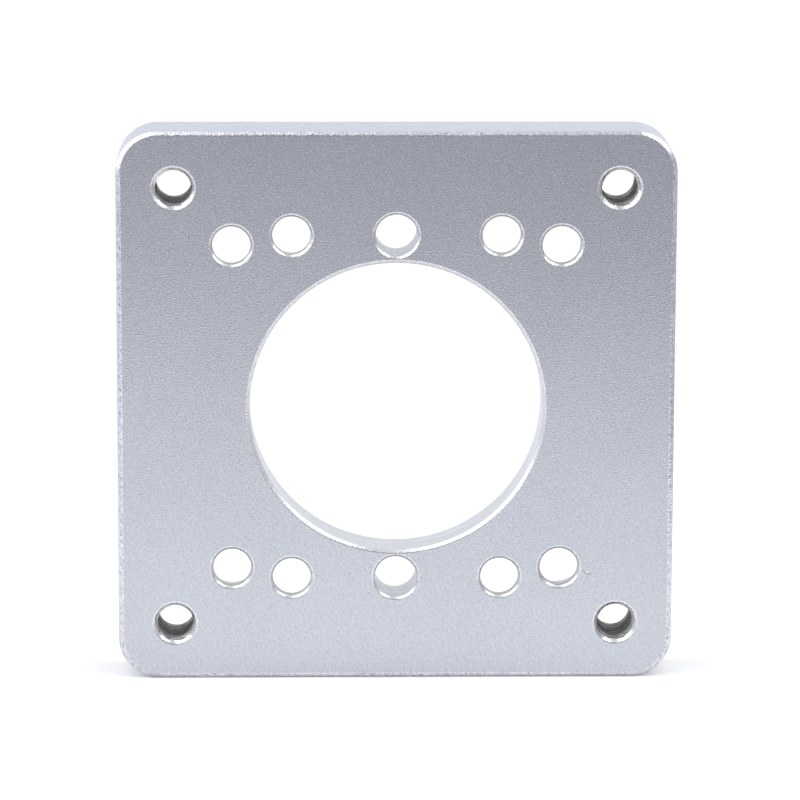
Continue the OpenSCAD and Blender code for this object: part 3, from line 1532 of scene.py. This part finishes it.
@dataclass(frozen=True)
class Patterns:
    """The node groups that the finishes share.

    Attributes:
        grain: The group from blasted_grain_group.
        marks: The group from tool_mark_group.
        chips: The group from edge_chip_group.
        dents: The group from dent_group.
    """

    grain: bpy.types.NodeTree
    marks: bpy.types.NodeTree
    chips: bpy.types.NodeTree
    dents: bpy.types.NodeTree

    @classmethod
    def build(cls, sizes: PlateSizes) -> "Patterns":
        """Makes the groups once, for a plate of these sizes."""
        return cls(blasted_grain_group(), tool_mark_group(), edge_chip_group(sizes), dent_group())


@dataclass(frozen=True)
class MetalFinish:
    """How one kind of surface on the plate looks.

    Attributes:
        name: The material's name.
        light: Colour of its brighter spots.
        dark: Colour of its darker spots.
        roughness: Lowest and highest roughness.
        grain: Grain frequency of the pits.
        bump: Depth of the bump in metres.
        marks: Share of turning marks in colour and height.
        across: Lines of the turning marks, in cells a metre.
        radial: 1 where they run round a turned face too.
        chips: Strength of the dark chips along the outline.
        mouth: Painted light: a pale colour near the front and the back face of a hole, if it differs.
        dents: Strength of the front face's dents, in their bump and in their painted shade and painted
        highlight.
    """

    name: str
    light: Colour
    dark: Colour
    roughness: Band
    grain: float
    bump: float
    marks: float = 0.0
    across: float = 9000.0
    radial: float = 0.0
    chips: float = 0.0
    mouth: Colour | None = None
    dents: float = 0.0

    def build(self, patterns: Patterns, thickness: float) -> bpy.types.Material:
        """Makes the material.

        Args:
            patterns: The node groups.
            thickness: The plate's thickness, in metres.

        Returns:
            The material.
        """
        material, graph = new_material(self.name)
        place = graph.place()
        grain = graph.group(patterns.grain, Vector=place, Grain=self.grain)
        speck, cloud = (graph.rising(grain[name], *NOISE_BAND) for name in ("Speckle", "Cloud"))
        tone, height = graph.blend(speck, cloud, CLOUD_SHARE), grain["Height"]
        if self.marks:
            marks = graph.group(patterns.marks, Vector=place, Across=self.across, Radial=self.radial)
            tone = graph.blend(tone, graph.rising(marks["Tone"], *NOISE_BAND), self.marks)
            height = graph.blend(height, marks["Height"], self.marks)
        colour = graph.mix(tone, self.dark, self.light)
        # Painted light: the colour turns pale near both faces, where light falls into the hole.
        if self.mouth:
            deep = graph.split(place)[1]
            inner = graph.math("MINIMUM", deep, graph.math("SUBTRACT", thickness, deep))
            colour = graph.mix(graph.times(graph.falling(inner, *PAINTED_MOUTH_LIGHT_DEPTHS), tone), colour, self.mouth)
        if self.chips:
            chips = graph.group(patterns.chips, Vector=place)["Chips"]
            colour = graph.mix(graph.times(chips, self.chips), colour, CHIP_COLOUR)
        if self.dents:
            dents = graph.group(patterns.dents, Vector=place)
            height = graph.math("MULTIPLY_ADD", dents["Rim"], -self.dents, height)
            # Painted shade on each dent's rim and a painted highlight in its middle.
            colour = graph.mix(graph.times(dents["Rim"], self.dents), colour, DENT_RIM_PAINTED_SHADE)
            colour = graph.mix(graph.times(dents["Core"], self.dents), colour, DENT_CORE_PAINTED_GLINT)
        low, high = self.roughness
        bump = graph.add("ShaderNodeBump", Strength=1.0, Distance=self.bump, Height=height)
        shader = graph.add(
            "ShaderNodeBsdfPrincipled",
            Base_Color=colour,
            Metallic=1.0,
            Roughness=graph.math("MULTIPLY_ADD", speck, low - high, high),
            Normal=bump.outputs[0],
        )
        graph.add("ShaderNodeOutputMaterial", Surface=shader.outputs[0])
        return material


FINISHES: dict[Surface, MetalFinish] = {
    Surface.BLASTED: MetalFinish(
        name="blasted_anodised",
        light=(0.564, 0.587, 0.650, 1.0),
        dark=(0.512, 0.535, 0.598, 1.0),
        roughness=(0.22, 0.30),
        grain=5200.0,
        bump=0.000029,
        chips=0.65,
        dents=0.7,
    ),
    Surface.BEVELLED: MetalFinish(
        name="bevelled_anodised",
        light=(0.77, 0.775, 0.80, 1.0),
        dark=(0.60, 0.605, 0.63, 1.0),
        roughness=(0.20, 0.32),
        grain=4200.0,
        bump=0.000038,
        dents=0.7,
    ),
    Surface.BORED: MetalFinish(
        name="bored_anodised",
        light=(0.725, 0.745, 0.80, 1.0),
        dark=(0.575, 0.59, 0.64, 1.0),
        roughness=(0.40, 0.55),
        grain=3600.0,
        bump=0.000008,
        marks=0.6,
    ),
    # Painted shade: the thread's colours are far darker than the other anodised finishes, for the shade
    # inside a tapped hole; its mouth colour is painted light.
    Surface.THREADED: MetalFinish(
        name="threaded_anodised",
        light=(0.30, 0.295, 0.31, 1.0),
        dark=(0.09, 0.088, 0.092, 1.0),
        roughness=(0.38, 0.54),
        grain=3200.0,
        bump=0.000014,
        marks=0.7,
        mouth=(0.92, 0.91, 0.94, 1.0),
    ),
    Surface.MILLED: MetalFinish(
        name="milled_anodised",
        light=(0.59, 0.625, 0.735, 1.0),
        dark=(0.52, 0.555, 0.665, 1.0),
        roughness=(0.28, 0.38),
        grain=3600.0,
        bump=0.000012,
    ),
    Surface.TURNED: MetalFinish(
        name="turned_anodised",
        light=(0.66, 0.68, 0.74, 1.0),
        dark=(0.52, 0.54, 0.60, 1.0),
        roughness=(0.26, 0.36),
        grain=3600.0,
        bump=0.000012,
        marks=0.75,
        across=4200.0,
        radial=1.0,
    ),
    Surface.DRILLED: MetalFinish(
        name="drilled_anodised",
        light=(0.58, 0.585, 0.60, 1.0),
        dark=(0.44, 0.445, 0.46, 1.0),
        roughness=(0.40, 0.55),
        grain=3600.0,
        bump=0.000008,
        marks=0.6,
    ),
    Surface.EDGED: MetalFinish(
        name="edged_anodised",
        light=(0.80, 0.80, 0.86, 1.0),
        dark=(0.50, 0.50, 0.55, 1.0),
        roughness=(0.12, 0.24),
        grain=3800.0,
        bump=0.00004,
        chips=0.6,
        dents=0.7,
    ),
}


# Studio


@dataclass(frozen=True)
class Glow:
    """A change of the floor's own light over a distance from the bore's middle, in metres.

    Attributes:
        start: Distance at which it is none.
        end: Distance at which it is whole.
        gain: How much light it then adds.
    """

    start: float
    end: float
    gain: float


@dataclass
class Studio:
    """The pale floor, the lamps, the world and the cards that only the metal mirrors.

    Attributes:
        floor_z: The floor's height.
        floor_size: The floor's side.
        floor_colour: Its colour.
        base_glow: The light that the floor itself gives the camera, before the glows.
        glows: What is added to that with the distance. The last one, which falls outwards, is a painted
        pool of light round the plate's foot that makes its shadow fainter.
        world_diffuse: Strength of the world in the shade, where 1 is white.
        lamp_radiance: Radiance of the lamps.
    """

    floor_z: float
    floor_size: float = 4.0
    floor_colour: Colour = (0.90, 0.90, 0.90, 1.0)
    base_glow: float = 0.08
    # The last glow is a painted pool of light round the plate's foot, which the metal mirrors too.
    glows: tuple[Glow, ...] = (Glow(0.05, 0.9, 0.22), Glow(0.45, 1.4, 0.40), Glow(0.10, 0.03, 0.05))
    world_diffuse: float = 0.50
    lamp_radiance: float = 1.6

    def build(self) -> None:
        """Makes the floor, the cards, the lamps and the world."""
        self._floor()
        self._cards()
        self._lamp("overhead_left", (-0.30, -0.15, 0.70), (0.50, 0.70))
        self._lamp("overhead_right", (0.30, -0.15, 0.70), (0.50, 0.70))
        self._lamp("side_left", (-0.72, -0.10, 0.34), (0.70, 0.80))
        self._lamp("side_right", (0.66, -0.10, 0.48), (0.60, 0.80))
        self._world()

    def _sheet(
        self, name: str, corners: Sequence[Sequence[float]], material: bpy.types.Material
    ) -> bpy.types.Object:
        """Makes a flat four-cornered stage object.

        Args:
            name: Its name.
            corners: Its corners in order, in metres.
            material: Its material.

        Returns:
            The object.
        """
        mesh = bpy.data.meshes.new(name)
        mesh.from_pydata(corners, [], [(0, 1, 2, 3)])
        mesh.materials.append(material)
        sheet = bpy.data.objects.new(name, mesh)
        bpy.context.scene.collection.objects.link(sheet)
        return sheet

    def _floor(self) -> None:
        """A pale floor that turns white for the camera and keeps the plate's shadow."""
        material, graph = new_material("floor_paper")
        distance = graph.length(graph.place())
        light = self.base_glow
        # The rising glows make the far floor evenly white; the falling one paints light round the plate's
        # foot.
        for glow in self.glows:
            rise = graph.rising(distance, glow.start, glow.end)
            light = graph.math("MULTIPLY_ADD", rise, glow.gain, light)
        paper = graph.add("ShaderNodeBsdfDiffuse", Color=self.floor_colour)
        lit = graph.add("ShaderNodeEmission", Strength=graph.times(light, graph.seen()))
        both = graph.add("ShaderNodeAddShader", in0=paper.outputs[0], in1=lit.outputs[0])
        graph.add("ShaderNodeOutputMaterial", Surface=both.outputs[0])
        half = self.floor_size / 2
        self._sheet("floor", [(half * x, half * y, self.floor_z) for x, y in QUADRANTS], material)

    def _cards(self) -> None:
        """Cards of one even radiance: the room behind the camera, a strip above and two sides."""
        room = self._upright((-0.22, -0.333), (0.22, -0.157), 0.45)
        left = self._upright((-0.15, -0.15), (-0.15, 0.10), 0.035)
        right = self._upright((0.15, -0.15), (0.15, 0.10), 0.085)
        strip = [(x, y, 0.66) for x, y in ((-0.08, -0.5), (0.25, -0.5), (0.25, 0.2), (-0.08, 0.2))]
        self._card("room_card", room, (0.46, 0.455, 0.49, 1.0))
        self._card("overhead_strip", strip, (0.84, 0.84, 0.86, 1.0))
        self._card("right_card", right, (0.68, 0.665, 0.69, 1.0))
        self._card("left_card", left, (0.87, 0.90, 1.0, 1.0))

    def _upright(self, start: Point, end: Point, top: float) -> list[tuple[float, float, float]]:
        """Corners of a card that stands on the floor.

        Args:
            start: One end of its lower edge, as (x, y) in metres.
            end: The other end.
            top: Height of its upper edge.

        Returns:
            The corners, in order.
        """
        return [(*start, self.floor_z), (*end, self.floor_z), (*end, top), (*start, top)]

    def _card(self, name: str, corners: Sequence[Sequence[float]], colour: Colour) -> None:
        """Makes a card that only the metal mirrors.

        Args:
            name: Its name.
            corners: Its corners in order, in metres.
            colour: Its radiance.
        """
        material, graph = new_material(name)
        glow = graph.add("ShaderNodeEmission", Color=colour, Strength=1.0)
        graph.add("ShaderNodeOutputMaterial", Surface=glow.outputs[0])
        card = self._sheet(name, corners, material)
        card.visible_camera = False
        card.visible_shadow = False
        card.visible_diffuse = False

    def _lamp(self, name: str, place: tuple[float, float, float], size: tuple[float, float]) -> None:
        """A soft lamp that points at the plate.

        Args:
            name: Its name.
            place: Its centre, in metres.
            size: Its sides, in metres.
        """
        lamp = bpy.data.lights.new(name, "AREA")
        lamp.shape = "RECTANGLE"
        lamp.size, lamp.size_y = size
        lamp.energy = self.lamp_radiance * math.pi * size[0] * size[1]
        holder = bpy.data.objects.new(name, lamp)
        bpy.context.scene.collection.objects.link(holder)
        holder.location = place
        spot = np.array(place)
        back = spot / np.linalg.norm(spot)
        side = np.cross([0, 1, 0], back)
        side /= np.linalg.norm(side)
        rise = np.cross(back, side)
        holder.rotation_euler = Matrix(np.stack([side, rise, back], axis=-1).tolist()).to_euler()
        holder.visible_camera = False

    def _world(self) -> None:
        """A white surround for what the camera and the metal see, and a dimmer one for shade."""
        world = bpy.data.worlds.new("studio")
        world.use_nodes = True
        graph = NodeGraph(world.node_tree)
        shade = self.world_diffuse
        strength = graph.math("MULTIPLY_ADD", graph.seen(), 1 - shade, shade)
        sky = graph.add("ShaderNodeBackground", Color=(1, 1, 1, 1), Strength=strength)
        graph.add("ShaderNodeOutputWorld", Surface=sky.outputs[0])
        bpy.context.scene.world = world


@dataclass(frozen=True)
class PhotoCamera:
    """The camera at the photograph's viewing angle, fitted to the hole centres in the picture.

    Attributes:
        place: Its place, in millimetres.
        yaw: Its turn about Z, in radians as the next two.
        pitch: Its turn about X.
        roll: Its turn about its own view.
        focal_pixels: Its focal length, in pixels of the picture.
        picture_width: The picture's width, in pixels.
        sensor: The sensor's width, in millimetres.
    """

    place: tuple[float, float, float] = (-18.3626, -701.3246, 148.0061)
    yaw: float = -0.026945
    pitch: float = -0.206373
    roll: float = -0.003748
    focal_pixels: float = 5000.0
    picture_width: int = 800
    sensor: float = 36.0

    def build(self) -> None:
        """Makes the camera and sets it as the scene's.

        Its turn is yaw about Z, then pitch about X, then roll about Y, for a camera that looks
        along +Y before them.
        """
        data = bpy.data.cameras.new("photo_camera")
        data.sensor_width = self.sensor
        data.lens = self.focal_pixels / self.picture_width * self.sensor
        data.clip_start, data.clip_end = 0.01, 20.0
        camera = bpy.data.objects.new("photo_camera", data)
        turn = Matrix.Rotation(self.yaw, 3, "Z") @ Matrix.Rotation(self.pitch, 3, "X")
        turn = turn @ Matrix.Rotation(self.roll, 3, "Y") @ Matrix.Rotation(math.pi / 2, 3, "X")
        camera.rotation_euler = turn.to_euler()
        camera.location = [METRE * value for value in self.place]
        bpy.context.scene.collection.objects.link(camera)
        bpy.context.scene.camera = camera


def main() -> None:
    """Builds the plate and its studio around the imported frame."""
    logging.basicConfig(level=logging.INFO, format="%(name)s: %(message)s")
    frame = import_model()
    sizes = PlateSizes.from_frame(frame["record"])
    patterns = Patterns.build(sizes)
    materials = [FINISHES[surface].build(patterns, sizes.thickness * METRE) for surface in Surface]
    AdapterPlate(sizes).build(materials)
    Studio(floor_z=-sizes.half_h * METRE).build()
    PhotoCamera().build()
    bpy.context.scene.view_settings.view_transform = "Standard"


if __name__ == "__main__":
    main()
